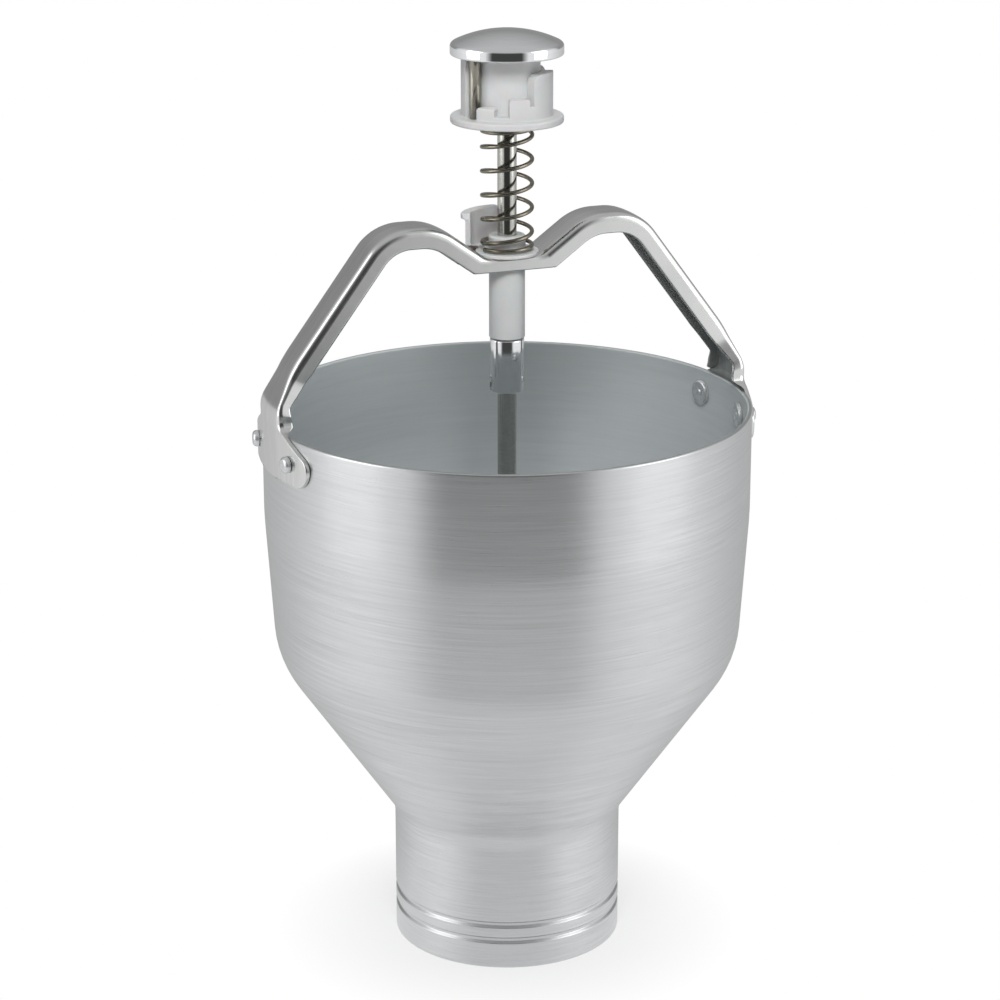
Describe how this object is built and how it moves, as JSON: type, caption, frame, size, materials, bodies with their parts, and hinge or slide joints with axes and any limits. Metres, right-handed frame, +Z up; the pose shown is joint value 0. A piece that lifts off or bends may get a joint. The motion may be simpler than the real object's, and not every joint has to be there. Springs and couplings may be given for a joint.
{
  "type": "pancake batter dispenser",
  "caption": "Hand-held batter dispenser: spun aluminium funnel hopper with a riveted carrying handle and a sprung plunger with a stepped portion dial under its knob.",
  "frame": {"origin": "centre of the neck's bottom edge, on which the dispenser stands", "axes": "+Z up along the hopper's axis of turning, +X along the handle from its left foot to its right foot"},
  "size_m": [0.2088, 0.2032, 0.3905],
  "materials": {
    "spun_aluminium": "satin, fine turning lines",
    "machined_aluminium": "turned",
    "plated_steel": "bright plating",
    "rivet_steel": "plain bright",
    "rod_steel": "ground bright",
    "spring_wire": "drawn bright wire",
    "chrome_knob": "polished chrome",
    "white_nylon": "natural white, satin",
    "seal_rubber": "matte"
  },
  "bodies": {
    "hopper": {"hopper_shell": "spun_aluminium", "portion_cylinder": "machined_aluminium", "cylinder_seal": "seal_rubber", "carry_handle": "plated_steel", "rivet_1": "rivet_steel", "rivet_2": "rivet_steel", "rivet_3": "rivet_steel", "rivet_4": "rivet_steel", "stop_bush": "white_nylon", "guide_sleeve": "white_nylon", "return_spring": "spring_wire"},
    "spring_seat": {"spring_washer": "rivet_steel"},
    "plunger": {"knob": "chrome_knob", "knob_sleeve": "white_nylon", "index_pin": "rod_steel", "upper_rod": "rod_steel", "coupling_sleeve": "chrome_knob", "coupling_pin": "rivet_steel"},
    "dial": {"portion_dial": "white_nylon"},
    "lower_plunger": {"lower_rod": "rod_steel", "bayonet_pin": "rivet_steel", "piston": "white_nylon", "piston_seal": "seal_rubber", "spacer_tube": "rod_steel", "cutoff_disc": "white_nylon", "cutoff_seal": "seal_rubber", "lock_washer": "rivet_steel", "cap_nut": "rod_steel"}
  },
  "joints": [
    {"name": "plunger_press", "type": "slide", "parent": "hopper", "child": "spring_seat", "axis": [0, 0, -1], "range_m": [0, 0.032], "stiffness_N_per_m": 1500, "springref_m": -0.008, "deforming": ["return_spring"]},
    {"name": "knob_spin", "type": "hinge", "parent": "spring_seat", "child": "plunger", "pos_m": [0, 0, 0.36], "axis": [0, 0, 1], "continuous": true},
    {"name": "dial_drop", "type": "slide", "parent": "plunger", "child": "dial", "axis": [0, 0, -1], "range_m": [0, 0.0055]},
    {"name": "bayonet_turn", "type": "hinge", "parent": "plunger", "child": "lower_plunger", "pos_m": [0, 0, 0.246], "axis": [0, 0, 1], "range_deg": [0, 35]}
  ]
}
